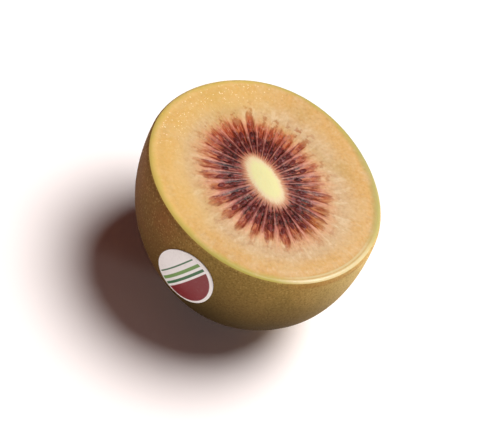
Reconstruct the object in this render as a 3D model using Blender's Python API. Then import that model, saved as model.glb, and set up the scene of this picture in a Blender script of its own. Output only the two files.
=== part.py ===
# Half of a red-fleshed kiwi fruit, cut across and resting on its round end with the cut face up.
# The sizes below are in millimetres. X runs along the long width of the cut and Z is up.

import bmesh
import bpy
import numpy as np

for item in list(bpy.data.objects):
    bpy.data.objects.remove(item, do_unlink=True)

rng = np.random.default_rng(41)

# The flesh and skin body, as a rounded solid with its widest girth a little below the cut
girth_half_length = 26.5
girth_half_width = 24.27
cut_to_tip = 32.79
girth_below_cut = 5.3
fullness = 2.187
tip_offset = np.array([0.58, 0.12])
outline_waves = ((3, -0.0076, 80.3), (4, 0.0068, 59.5))
flat_spot_radius = 5.0
edge_round = 0.95
edge_dip_depth = 0.10
edge_dip_from_edge = 1.9
skin_rings = 17

# Soft dents and swells of the skin: azimuth in degrees, depth below the cut, reach and height
skin_swells = (
    (20.0, 15.0, 9.0, 0.16),
    (75.0, 10.0, 8.0, -0.14),
    (120.0, 19.0, 10.0, 0.15),
    (170.0, 12.0, 8.0, 0.12),
    (205.0, 21.0, 9.0, -0.16),
    (250.0, 23.0, 8.0, 0.12),
    (350.0, 25.0, 9.0, -0.14),
)

# The pale core, an oval turned a little from the long width
core_centre = np.array([1.2, -0.9])
core_half_length = 6.2
core_half_width = 3.0
core_turn = np.radians(14.0)
core_rise = 0.35

# The seed chambers round the core: direction in degrees, reach from the core's edge, and how far
# out from that edge its seeds lie
chambers = (
    (357.0, 8.9, (5.4, 3.1)), (13.0, 9.4, (4.3, 6.3)), (29.0, 9.6, (5.6, 3.3)),
    (46.0, 9.4, (3.2, 5.5)), (60.0, 10.2, (4.0,)), (70.5, 8.4, (2.9,)),
    (79.5, 9.6, (4.2,)), (91.0, 9.8, (4.0, 6.4)), (102.0, 9.0, (3.3, 5.6)),
    (111.5, 11.8, (5.9, 3.2)), (120.5, 11.0, (5.6, 3.0)), (128.5, 10.2, (3.7,)),
    (136.5, 10.2, (4.4, 2.3)), (147.0, 10.0, (4.8, 2.7)), (158.0, 12.2, (6.2, 3.3)),
    (171.5, 9.9, (5.9, 3.0)), (186.0, 9.4, (4.7, 2.4)), (201.5, 9.3, (3.4, 5.6)),
    (214.5, 9.5, (4.6, 2.5)), (228.5, 8.8, (5.3, 2.9)), (241.0, 9.9, (4.4,)),
    (252.5, 10.2, (6.0, 3.6)), (264.0, 9.0, (4.1, 6.5)), (277.5, 11.0, (5.0, 2.7)),
    (290.0, 10.8, (4.6, 7.0)), (302.5, 11.2, (3.7, 6.3)), (314.5, 10.3, (5.9, 2.4)),
    (327.5, 10.2, (3.7, 6.3)), (343.0, 10.6, (4.2, 6.4)),
)
chamber_depth = 0.26
chamber_bands = (0.0, 0.9, 2.0, 3.4, 5.0, 6.8, 8.6, 10.4, 12.4)

# The seeds, flat drops half sunk in the chambers, each a little off its chamber's middle
seed_spread = 1.6
seed_half_length = 0.98
seed_half_width = 0.52
seed_half_height = 0.34

# The oval sticker on the flank, in a flat frame that touches the skin at its anchor
label_anchor = np.array([16.74, -18.56, -8.95])
label_centre = np.array([-0.54, -1.96])
label_half_length = 8.15
label_half_width = 6.14
label_turn = np.radians(66.0)
label_gap = 0.3
label_thickness = 0.35
label_rings = 5
label_sides = 40


def smooth(value):
    value = np.clip(value, 0.0, 1.0)
    return value * value * (3.0 - 2.0 * value)


# Outline factor of the body in a direction, as the fruit isn't quite a true oval
def outline_factor(angle):
    factor = np.ones_like(angle)
    for count, size, phase in outline_waves:
        factor = factor + size * np.cos(count * (angle - np.radians(phase)))
    return factor


# Level of the body's girth curve at a depth: 1 at the girth and 0 at the tip
def girth_level(depth):
    reach = np.abs(depth - girth_below_cut) / (cut_to_tip - girth_below_cut)
    return np.clip(1.0 - np.minimum(reach, 1.0) ** fullness, 0.0, 1.0) ** (1.0 / fullness)


def swell_at(angle, depth):
    total = np.zeros(np.broadcast(angle, depth).shape)
    for azimuth, deep, reach, height in skin_swells:
        turn = np.angle(np.exp(1j * (angle - np.radians(azimuth))))
        along = turn * girth_half_length * girth_level(depth)
        total = total + height * np.exp(-(along**2 + (depth - deep) ** 2) / reach**2)
    return total * smooth(depth / 6.0)


# Points of the skin at one depth, moved in from the skin by some millimetres
def skin_points(angle, depth, moved_in=0.0):
    depth = np.broadcast_to(depth, angle.shape).astype(float)
    radius = girth_level(depth) * outline_factor(angle)
    x = girth_half_length * radius * np.cos(angle)
    y = girth_half_width * radius * np.sin(angle)
    size = np.hypot(x, y)
    scale = (size + swell_at(angle, depth) - moved_in) / np.maximum(size, 1e-6)
    lean = depth / cut_to_tip
    return np.stack([x * scale + tip_offset[0] * lean, y * scale + tip_offset[1] * lean, -depth], -1)


# Point of the cut face in the core's own oval frame: direction and distance from its edge
def face_point(turn, beyond, scale=1.0):
    x = (core_half_length * scale + beyond) * np.cos(turn)
    y = (core_half_width * scale + beyond) * np.sin(turn)
    spot_x = core_centre[0] + x * np.cos(core_turn) - y * np.sin(core_turn)
    spot_y = core_centre[1] + x * np.sin(core_turn) + y * np.cos(core_turn)
    return np.stack([spot_x, spot_y], -1)


# Six ring directions a chamber: one on the wall between two chambers and five across the next
def ring_layout():
    order = sorted(chambers)
    turns, across, reaches = [], [], []
    for index, (middle, reach, _) in enumerate(order):
        before = order[index - 1]
        after = order[(index + 1) % len(order)]
        left = ((middle - before[0]) % 360.0) / 2.0
        right = ((after[0] - middle) % 360.0) / 2.0
        turns += [middle - left, middle - 0.62 * left, middle - 0.3 * left]
        turns += [middle, middle + 0.3 * right, middle + 0.62 * right]
        across += [0.0, 0.45, 1.0, 0.8, 1.0, 0.45]
        reaches += [(reach + before[1]) / 2.0] + [reach] * 5
    return np.radians(turns), np.array(across), np.array(reaches)


ring_turns, ring_across, ring_reach = ring_layout()


def chamber_sink(beyond, across, reach):
    start = smooth(beyond / 1.6)
    end = 1.0 - smooth((beyond - 0.62 * reach) / (0.42 * reach))
    return chamber_depth * across * start * end


# The body: rings from the middle of the core out to the edge and down the skin to the flat spot
def make_body():
    body = bmesh.new()

    def ring(points):
        return [body.verts.new(point) for point in points]

    def join(first, second):
        if len(first) == len(second):
            for index in range(len(first)):
                after = (index + 1) % len(first)
                body.faces.new((first[index], first[after], second[after], second[index]))
            return
        fine, coarse = (first, second) if len(first) > len(second) else (second, first)
        for index in range(len(coarse)):
            after = (index + 1) % len(coarse)
            low, middle, high = fine[2 * index], fine[2 * index + 1], fine[(2 * index + 2) % len(fine)]
            body.faces.new((low, middle, coarse[index]))
            body.faces.new((middle, coarse[after], coarse[index]))
            body.faces.new((middle, high, coarse[after]))

    coarse = ring_turns[::2]
    rings = []
    for scale in (0.3, 0.62, 0.86):
        flat = face_point(coarse, 0.0, scale)
        rise = core_rise * (1.0 - scale**2)
        rings.append(ring(np.c_[flat, np.full(len(flat), rise)]))
    for beyond in chamber_bands:
        flat = face_point(ring_turns, beyond)
        rings.append(ring(np.c_[flat, -chamber_sink(beyond, ring_across, ring_reach)]))

    # The edge ring looks from the middle of the body in the direction of each face spoke
    inner = face_point(coarse, chamber_bands[-1])
    aim = np.arctan2(
        (inner[:, 1] + 0.9 * 12.0 * np.sin(coarse + core_turn)) / girth_half_width,
        (inner[:, 0] + 0.9 * 12.0 * np.cos(coarse + core_turn)) / girth_half_length,
    )
    dip = edge_dip_from_edge
    for from_edge, sunk in ((dip + 1.6, 0.0), (dip, edge_dip_depth), (edge_round + 0.25, 0.03)):
        points = skin_points(aim, 0.0, from_edge)
        if from_edge == dip + 1.6:
            middle = (points[:, :2] + inner) / 2.0
            rings.append(ring(np.c_[middle, np.zeros(len(middle))]))
        points[:, 2] = -sunk
        rings.append(ring(points))
    for step in (20.0, 45.0, 70.0, 90.0):
        bend = np.radians(step)
        drop = 0.03 + edge_round * (1.0 - np.cos(bend))
        rings.append(ring(skin_points(aim, drop, edge_round * (1.0 - np.sin(bend)))))

    span = cut_to_tip - girth_below_cut
    lowest = (1.0 - (flat_spot_radius / girth_half_length) ** fullness) ** (1.0 / fullness)
    first = -np.arcsin(((girth_below_cut - edge_round) / span) ** (fullness / 2.0))
    last = np.arcsin(lowest ** (fullness / 2.0))
    for angle in np.linspace(first, last, skin_rings + 1)[1:]:
        level = np.sign(np.sin(angle)) * np.abs(np.sin(angle)) ** (2.0 / fullness)
        rings.append(ring(skin_points(aim, girth_below_cut + span * level)))

    for first_ring, second_ring in zip(rings, rings[1:]):
        join(first_ring, second_ring)
    top = body.verts.new((core_centre[0], core_centre[1], core_rise))
    bottom_middle = np.mean([vert.co[:] for vert in rings[-1]], axis=0)
    bottom = body.verts.new(bottom_middle)
    for hub, ends in ((top, rings[0]), (bottom, rings[-1])):
        for index in range(len(ends)):
            body.faces.new((hub, ends[index], ends[(index + 1) % len(ends)]))
    bmesh.ops.recalc_face_normals(body, faces=body.faces)
    return body


def to_object(name, shape):
    mesh = bpy.data.meshes.new(name)
    shape.to_mesh(mesh)
    shape.free()
    made = bpy.data.objects.new(name, mesh)
    bpy.context.scene.collection.objects.link(made)
    return made


# One seed lies flat in its chamber, half sunk and pointing out from the core
def make_seed(index, turn, beyond):
    shape = bmesh.new()
    bmesh.ops.create_uvsphere(shape, u_segments=6, v_segments=4, radius=1.0)
    inner = face_point(np.radians(turn), beyond - 0.1)
    outer = face_point(np.radians(turn), beyond + 0.1)
    spoke = np.arctan2(*(outer - inner)[::-1]) + np.radians(rng.uniform(-14.0, 14.0))
    size = rng.uniform(0.88, 1.08)
    half = np.array([seed_half_height, seed_half_width, seed_half_length]) * size
    forward = np.array([np.cos(spoke), np.sin(spoke), 0.0])
    sideways = np.array([-np.sin(spoke), np.cos(spoke), 0.0])
    upward = np.array([0.0, 0.0, 1.0])
    spot = (inner + outer) / 2.0
    reach = ring_reach[np.argmin(np.abs(np.angle(np.exp(1j * (ring_turns - np.radians(turn))))))]
    level = -chamber_sink(beyond, 0.8, reach) - 0.04
    for vert in shape.verts:
        x, y, z = vert.co
        taper = 1.0 - 0.22 * z
        offset = forward * z * half[2] + sideways * y * half[1] * taper + upward * x * half[0]
        vert.co = np.array([spot[0], spot[1], level]) + offset
    bmesh.ops.recalc_face_normals(shape, faces=shape.faces)
    return to_object(f"seed_{index}", shape)


# How far a point is outside the body's smooth surface, as a plain number that is 0 on it
def outside(point):
    depth = -point[2]
    lean = depth / cut_to_tip
    x = (point[0] - tip_offset[0] * lean) / girth_half_length
    y = (point[1] - tip_offset[1] * lean) / girth_half_width
    angle = np.arctan2(y, x)
    swell = float(swell_at(angle, depth)) / girth_half_length
    radius = (np.hypot(x, y) - swell) / float(outline_factor(np.array(angle)))
    reach = abs(depth - girth_below_cut) / (cut_to_tip - girth_below_cut)
    return radius**fullness + reach**fullness - 1.0


def outward(point):
    steps = np.eye(3) * 0.01
    slope = np.array([outside(point + step) - outside(point - step) for step in steps])
    return slope / np.linalg.norm(slope)


def on_skin(start, direction):
    low, high = -6.0, 6.0
    for _ in range(50):
        middle = (low + high) / 2.0
        if outside(start + direction * middle) > 0.0:
            high = middle
        else:
            low = middle
    return start + direction * (low + high) / 2.0


# The sticker: an oval sheet that follows the skin a small gap off it
def make_label():
    shape = bmesh.new()
    facing = outward(label_anchor)
    upward = np.array([0.0, 0.0, 1.0])
    upward = upward - facing * (upward @ facing)
    upward /= np.linalg.norm(upward)
    sideways = np.cross(upward, facing)
    base = on_skin(label_anchor, facing)
    layers = []
    for lift in (label_gap, label_gap + label_thickness):
        rings = []
        for share in np.linspace(0.0, 1.0, label_rings + 1)[1:]:
            points = []
            for turn in np.linspace(0.0, 2.0 * np.pi, label_sides, endpoint=False):
                along = share * label_half_length * np.cos(turn)
                over = share * label_half_width * np.sin(turn)
                u = label_centre[0] + along * np.cos(label_turn) - over * np.sin(label_turn)
                v = label_centre[1] + along * np.sin(label_turn) + over * np.cos(label_turn)
                spot = on_skin(base + sideways * u + upward * v, facing)
                points.append(shape.verts.new(spot + outward(spot) * lift))
            rings.append(points)
        spot = on_skin(base + sideways * label_centre[0] + upward * label_centre[1], facing)
        hub = shape.verts.new(spot + outward(spot) * lift)
        layers.append((hub, rings))
    for hub, rings in layers:
        for index in range(label_sides):
            after = (index + 1) % label_sides
            shape.faces.new((hub, rings[0][index], rings[0][after]))
            for first, second in zip(rings, rings[1:]):
                shape.faces.new((first[index], second[index], second[after], first[after]))
    under, over = layers[0][1][-1], layers[1][1][-1]
    for index in range(label_sides):
        after = (index + 1) % label_sides
        shape.faces.new((under[index], under[after], over[after], over[index]))
    bmesh.ops.recalc_face_normals(shape, faces=shape.faces)
    return to_object("label", shape)


def material(name, colour, roughness, **others):
    made = bpy.data.materials.new(name)
    made.use_nodes = True
    shader = made.node_tree.nodes["Principled BSDF"]
    shader.inputs["Base Color"].default_value = (*colour, 1.0)
    shader.inputs["Roughness"].default_value = roughness
    for key, value in others.items():
        shader.inputs[key.replace("_", " ")].default_value = value
    made.diffuse_color = (*colour, 1.0)
    return made


fruit = to_object("fruit_half", make_body())

seeds = bpy.data.collections.new("seeds")
bpy.context.scene.collection.children.link(seeds)
for middle, _, distances in chambers:
    for beyond in distances:
        turn = middle + rng.uniform(-seed_spread, seed_spread)
        seed = make_seed(len(seeds.objects), turn, beyond)
        bpy.context.scene.collection.objects.unlink(seed)
        seeds.objects.link(seed)

union = fruit.modifiers.new("fuse_seeds", "BOOLEAN")
union.operation = "UNION"
union.operand_type = "COLLECTION"
union.collection = seeds
union.solver = "MANIFOLD"
bpy.context.view_layer.update()
fused = bpy.data.meshes.new_from_object(fruit.evaluated_get(bpy.context.evaluated_depsgraph_get()))
fruit.modifiers.clear()
fruit.data = fused
for seed in list(seeds.objects):
    bpy.data.objects.remove(seed, do_unlink=True)
bpy.data.collections.remove(seeds)

label = make_label()

# Colours: golden flesh on the cut face, red chambers, pale core, dark seeds and brown skin
flesh_colour = material("golden flesh", (0.84, 0.52, 0.20), 0.35)
core_colour = material("pale core", (0.97, 0.93, 0.51), 0.45)
chamber_colour = material("red chambers", (0.37, 0.08, 0.06), 0.4)
skin_colour = material("smooth brown skin", (0.26, 0.16, 0.07), 0.55)
label_colour = material("paper sticker", (0.80, 0.78, 0.74), 0.5)

for slot in (flesh_colour, core_colour, chamber_colour, skin_colour):
    fruit.data.materials.append(slot)
label.data.materials.append(label_colour)
for face in fruit.data.polygons:
    centre = np.array(face.center)
    shift = centre[:2] - core_centre
    x = shift[0] * np.cos(core_turn) + shift[1] * np.sin(core_turn)
    y = -shift[0] * np.sin(core_turn) + shift[1] * np.cos(core_turn)
    core_level = np.hypot(x / (core_half_length + 0.4), y / (core_half_width + 0.4))
    ray_level = np.hypot(x / (core_half_length + 8.6), y / (core_half_width + 8.6))
    if centre[2] < -0.6:
        face.material_index = 3
    elif core_level < 1.0:
        face.material_index = 1
    elif ray_level < 1.0:
        face.material_index = 2
    else:
        face.material_index = 0

# Stand both on the floor with the whole object centred over the origin, in metres
corners = np.concatenate([[vert.co[:] for vert in item.data.vertices] for item in (fruit, label)])
low, high = corners.min(axis=0), corners.max(axis=0)
shift = np.array([-(low[0] + high[0]) / 2.0, -(low[1] + high[1]) / 2.0, -low[2]])
for item in (fruit, label):
    for vert in item.data.vertices:
        vert.co = (np.array(vert.co) + shift) * 0.001
    item.data.update()
print("moved by", shift.round(3), "size", (high - low).round(3))
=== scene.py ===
from math import pi, radians
from types import SimpleNamespace

import bpy
import numpy as np
from mathutils import Euler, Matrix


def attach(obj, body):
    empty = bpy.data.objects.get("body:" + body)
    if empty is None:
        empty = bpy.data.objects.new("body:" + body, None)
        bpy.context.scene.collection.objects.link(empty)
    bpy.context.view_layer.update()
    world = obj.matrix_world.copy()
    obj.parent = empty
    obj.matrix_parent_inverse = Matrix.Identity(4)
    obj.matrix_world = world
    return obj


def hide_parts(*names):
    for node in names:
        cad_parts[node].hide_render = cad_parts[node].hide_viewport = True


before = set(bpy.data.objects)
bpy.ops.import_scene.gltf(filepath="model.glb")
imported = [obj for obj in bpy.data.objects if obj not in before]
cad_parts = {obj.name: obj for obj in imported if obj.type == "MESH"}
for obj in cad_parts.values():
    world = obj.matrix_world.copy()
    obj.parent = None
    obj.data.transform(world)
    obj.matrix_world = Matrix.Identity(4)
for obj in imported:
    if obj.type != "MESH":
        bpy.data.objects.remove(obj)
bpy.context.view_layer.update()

# Half of a red-fleshed golden kiwi fruit. Fruit sizes are in millimetres, as on a fruit grader's
# sheet, and turn into metres where a mesh gets its final place.
millimetre = 0.001

fruit = dict(
    longHalf=26.5,  # half of the long width at the girth
    wideHalf=24.27,  # half of the short width at the girth
    cutToTip=32.79,
    girthBelowCut=5.3,
    fullness=2.187,  # 2 is a plain oval, more is fuller in the flank
    tipOffset=(0.58, 0.12),  # the round end leans out of the middle by this much
    outlineWaves=((3, -0.0076, 80.3), (4, 0.0068, 59.5)),  # waves round it, size, direction
    swellFade=6.0,  # the skin's swells fade in over this depth below the cut
    flatSpotRadius=5.0,
    edgeRound=0.95,
    edgeDip=0.10,  # the flesh sinks by this much before the edge
    edgeDipInside=1.9,  # distance of that dip from the skin
    edgeDipBlend=1.6,  # width over which the flat flesh falls to the dip
    edgeTop=0.03,  # drop below the cut where the rounded edge starts
    skinBelow=0.34,  # the skin's finish starts this far below the cut
    insideSolid=0.03,  # the skin lies this far inside the solid's
    standing=(-0.173, 0.167, 32.4605),  # place of the middle of the cut
    spinSteps=432,
    chamberZone=12.4,  # out to this distance from the core the flesh follows the core's oval
    zoneToRim=10.8,  # rough width of the flesh outside that zone, which gives each spoke its aim
    fleshSpan=8.0,  # what fromCore gains across that outer flesh
    rimDistance=23.9,  # what fromCore reads at the rim
    fibreStretch=60.0,  # millimetres of a spoke to one unit of the fibre noises
)
rowCounts = dict(core=10, flesh=14, dip=14, edge=12, skin=60)  # rings of mesh in each part
bowl = dict(core=4.6, flesh=17.0, fleshWidth=4.7, edge=25.2, skin=25.3)  # radii of the bowl spun first
swells = (  # azimuth in degrees, depth below the cut, reach, height
    (20.0, 15.0, 9.0, 0.16), (75.0, 10.0, 8.0, -0.14), (120.0, 19.0, 10.0, 0.15),
    (170.0, 12.0, 8.0, 0.12), (205.0, 21.0, 9.0, -0.16), (250.0, 23.0, 8.0, 0.12),
    (350.0, 25.0, 9.0, -0.14),
)
core = dict(
    centre=(1.2, -0.9),  # from the middle of the cut
    longHalf=6.2,
    wideHalf=3.0,
    turn=radians(14.0),
    rise=0.349,  # the core bulges above the cut by this much
)
chamberSink = 0.26  # depth of a chamber's hollow below the cut
chambers = (  # direction in degrees, reach from the core's edge, how far out its seeds lie
    (357.0, 8.9, (5.4, 3.1)), (13.0, 9.4, (4.3, 6.3)), (29.0, 9.6, (5.6, 3.3)),
    (46.0, 9.4, (3.2, 5.5)), (60.0, 10.2, (4.0,)), (70.5, 8.4, (2.9,)),
    (79.5, 9.6, (4.2,)), (91.0, 9.8, (4.0, 6.4)), (102.0, 9.0, (3.3, 5.6)),
    (111.5, 11.8, (5.9, 3.2)), (120.5, 11.0, (5.6, 3.0)), (128.5, 10.2, (3.7,)),
    (136.5, 10.2, (4.4, 2.3)), (147.0, 10.0, (4.8, 2.7)), (158.0, 12.2, (6.2, 3.3)),
    (171.5, 9.9, (5.9, 3.0)), (186.0, 9.4, (4.7, 2.4)), (201.5, 9.3, (3.4, 5.6)),
    (214.5, 9.5, (4.6, 2.5)), (228.5, 8.8, (5.3, 2.9)), (241.0, 9.9, (4.4,)),
    (252.5, 10.2, (6.0, 3.6)), (264.0, 9.0, (4.1, 6.5)), (277.5, 11.0, (5.0, 2.7)),
    (290.0, 10.8, (4.6, 7.0)), (302.5, 11.2, (3.7, 6.3)), (314.5, 10.3, (5.9, 2.4)),
    (327.5, 10.2, (3.7, 6.3)), (343.0, 10.6, (4.2, 6.4)),
)


def smooth(value):
    value = np.clip(value, 0.0, 1.0)
    return value * value * (3.0 - 2.0 * value)


def wrapped(angle):
    return np.angle(np.exp(1j * angle))


def selectOnly(piece):
    bpy.ops.object.select_all(action="DESELECT")
    piece.select_set(True)
    bpy.context.view_layer.objects.active = piece


def readPoints(piece):
    points = np.zeros(len(piece.data.vertices) * 3)
    piece.data.vertices.foreach_get("co", points)
    return points.reshape(-1, 3)


def writePoints(piece, points):
    piece.data.vertices.foreach_set("co", np.asarray(points, float).ravel())
    piece.data.update()


def addPointValue(piece, name, values):
    kind = "FLOAT" if values.ndim == 1 else "FLOAT_VECTOR"
    layer = piece.data.attributes.new(name, kind, "POINT")
    layer.data.foreach_set("value" if values.ndim == 1 else "vector", values.ravel())


# Sides of the fruit by middle azimuth and reach in degrees: the rim's sides have colours of their own,
# the skin's sides carry painted light, painted glints and painted shade
fruitSides = dict(
    rimSides=((20.0, 24.0), (76.0, 34.0), (140.0, 50.0)),  # front, right and far rim
    # the golden side is painted light on the skin; the glinting side holds painted glints and painted
    # light in the flesh; the brown side is painted shade on the skin and painted light in the flesh
    paintedLightAndShadeSides=((64.0, 46.0), (205.0, 42.0), (268.0, 36.0)),  # golden, glinting and brown side
)


# The outline of the fruit at any depth, the same rounded form as the solid
def outlineFactor(angle):
    factor = np.ones_like(angle)
    for count, size, phase in fruit["outlineWaves"]:
        factor = factor + size * np.cos(count * (angle - radians(phase)))
    return factor


def girthLevel(depth):
    span = fruit["cutToTip"] - fruit["girthBelowCut"]
    reach = np.minimum(np.abs(depth - fruit["girthBelowCut"]) / span, 1.0)
    return (1.0 - reach ** fruit["fullness"]) ** (1.0 / fruit["fullness"])


def swellAt(angle, depth):
    total = np.zeros(np.broadcast(angle, depth).shape)
    for azimuth, deep, reach, height in swells:
        along = wrapped(angle - radians(azimuth)) * fruit["longHalf"] * girthLevel(depth)
        total = total + height * np.exp(-(along**2 + (depth - deep) ** 2) / reach**2)
    return total * smooth(depth / fruit["swellFade"])


# A point of the skin, or of the flesh that lies movedIn from it
def skinSpot(angle, depth, movedIn):
    movedIn = movedIn + fruit["insideSolid"]
    radius = girthLevel(depth) * outlineFactor(angle)
    x = fruit["longHalf"] * radius * np.cos(angle)
    y = fruit["wideHalf"] * radius * np.sin(angle)
    size = np.hypot(x, y)
    scale = (size + swellAt(angle, depth) - movedIn) / np.maximum(size, 1e-6)
    lean = depth / fruit["cutToTip"]
    offset = fruit["tipOffset"]
    return np.stack([x * scale + offset[0] * lean, y * scale + offset[1] * lean, -depth], -1)


# A point of the cut: a share of the core, or a distance beyond its edge
def faceSpot(turn, beyond, share):
    x = (core["longHalf"] * share + beyond) * np.cos(turn)
    y = (core["wideHalf"] * share + beyond) * np.sin(turn)
    cosine, sine = np.cos(core["turn"]), np.sin(core["turn"])
    across = core["centre"][0] + x * cosine - y * sine
    upward = core["centre"][1] + x * sine + y * cosine
    return np.stack([across, upward], -1)


# The direction in which a spoke from the core meets the skin
def aimOf(turn):
    inner = faceSpot(turn, fruit["chamberZone"], 1.0)
    out = fruit["zoneToRim"]
    return np.arctan2(
        (inner[..., 1] + out * np.sin(turn + core["turn"])) / fruit["wideHalf"],
        (inner[..., 0] + out * np.cos(turn + core["turn"])) / fruit["longHalf"],
    )


chamberOrder = sorted(chambers)
chamberMiddles = np.array([row[0] for row in chamberOrder])
chamberReaches = np.array([row[1] for row in chamberOrder])


# For each spoke: which chamber, how far across it from -1 to 1, and its reach
def chamberOf(turn):
    degrees = np.degrees(turn) % 360.0
    gap = (degrees[:, None] - chamberMiddles[None, :] + 180.0) % 360.0 - 180.0
    after = np.roll(chamberMiddles, -1)
    before = np.roll(chamberMiddles, 1)
    right = ((after - chamberMiddles) % 360.0) / 2.0
    left = ((chamberMiddles - before) % 360.0) / 2.0
    share = np.where(gap >= 0.0, gap / right, gap / left)
    index = np.argmin(np.abs(share), axis=1)
    across = share[np.arange(len(turn)), index]
    return index, np.clip(across, -1.0, 1.0), chamberReaches[index]


# How orange (far left), brown (front) and pale (right) a chamber is; the others are wine red
def toneOf(turn, index):
    rng = np.random.default_rng(5)
    uneven = rng.uniform(-0.18, 0.18, (2, len(chamberMiddles)))[:, index]
    orange = smooth(1.25 - np.abs(wrapped(turn - radians(155.0))) / radians(80.0) + uneven[0])
    brown = smooth(1.3 - np.abs(wrapped(turn - radians(28.0))) / radians(38.0) + uneven[1])
    pale = smooth(1.3 - np.abs(wrapped(turn - radians(84.0))) / radians(24.0))
    return orange, brown, pale


# How deep a chamber's hollow is, with a low ridge along its middle
def sinkAt(beyond, across, reach):
    side = np.abs(across)
    form = smooth((1.0 - side) / 0.7) * (1.0 - 0.2 * smooth(1.0 - side / 0.3))
    start = smooth(beyond / 1.6)
    end = 1.0 - smooth((beyond - 0.62 * reach) / (0.42 * reach))
    return chamberSink * form * start * end


# The section of the half: (part of the fruit, place along it, drop below the cut)
def sectionRows():
    shares = np.linspace(0.0, 1.0, rowCounts["core"])
    rows = [("core", share, -core["rise"] * (1.0 - share**2)) for share in shares]
    rows += [("chamber", beyond, 0.0) for beyond in np.arange(0.3, fruit["chamberZone"] + 0.01, 0.3)]
    rows += [("flesh", share, 0.0) for share in np.linspace(0.0, 1.0, rowCounts["flesh"])[1:]]
    dip, top = fruit["edgeDip"], fruit["edgeTop"]
    inside, blend = fruit["edgeDipInside"], fruit["edgeDipBlend"]
    inner = fruit["edgeRound"] + 0.25
    for fromEdge in np.linspace(inside + blend, inner, rowCounts["dip"])[1:]:
        if fromEdge > inside:
            drop = dip * smooth((inside + blend - fromEdge) / blend)
        else:
            drop = dip + (top - dip) * smooth((inside - fromEdge) / (inside - inner))
        rows.append(("edge", fromEdge, drop))
    for bend in np.radians(np.linspace(6.0, 90.0, rowCounts["edge"])):
        fromEdge = fruit["edgeRound"] * (1.0 - np.sin(bend))
        rows.append(("edge", fromEdge, top + fruit["edgeRound"] * (1.0 - np.cos(bend))))
    span = fruit["cutToTip"] - fruit["girthBelowCut"]
    full = fruit["fullness"]
    lowest = (1.0 - (fruit["flatSpotRadius"] / fruit["longHalf"]) ** full) ** (1.0 / full)
    first = -np.arcsin(((fruit["girthBelowCut"] - fruit["edgeRound"]) / span) ** (full / 2.0))
    last = np.arcsin(lowest ** (full / 2.0))
    for angle in np.linspace(first, last, rowCounts["skin"])[1:]:
        level = np.sign(np.sin(angle)) * np.abs(np.sin(angle)) ** (2.0 / full)
        rows.append(("skin", fruit["girthBelowCut"] + span * level, 0.0))
    deepest = rows[-1][1]
    rows += [("base", share, deepest) for share in (0.75, 0.5, 0.25, 0.0)]
    return rows


def plainRadius(row):
    kind, place, _ = row
    if kind == "core":
        return bowl["core"] * place
    if kind == "chamber":
        return bowl["core"] + place
    if kind == "flesh":
        return bowl["flesh"] + bowl["fleshWidth"] * place
    if kind == "edge":
        return bowl["edge"] - place
    if kind == "skin":
        return bowl["skin"] * float(girthLevel(np.array(place)))
    return fruit["flatSpotRadius"] * place


# Extrudes a section point by point and spins it into a closed bowl
def spinBowl(section):
    bpy.ops.object.select_all(action="DESELECT")
    bpy.ops.mesh.primitive_plane_add(size=millimetre)
    piece = bpy.context.object
    piece.name = piece.data.name = "kiwiHalf"
    bpy.ops.object.mode_set(mode="EDIT")
    bpy.ops.mesh.select_all(action="SELECT")
    bpy.ops.mesh.merge(type="CENTER")
    bpy.ops.transform.translate(value=section[0])
    for near, far in zip(section, section[1:]):
        step = tuple(b - a for a, b in zip(near, far))
        bpy.ops.mesh.extrude_vertices_move(TRANSFORM_OT_translate={"value": step})
    bpy.ops.mesh.select_all(action="SELECT")
    bpy.ops.mesh.spin(steps=fruit["spinSteps"], angle=2.0 * pi, center=(0, 0, 0), axis=(0, 0, 1))
    bpy.ops.mesh.select_all(action="SELECT")
    bpy.ops.mesh.remove_doubles(threshold=0.0008 * millimetre)
    bpy.ops.mesh.normals_make_consistent(inside=False)
    bpy.ops.object.mode_set(mode="OBJECT")
    return piece


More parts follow.
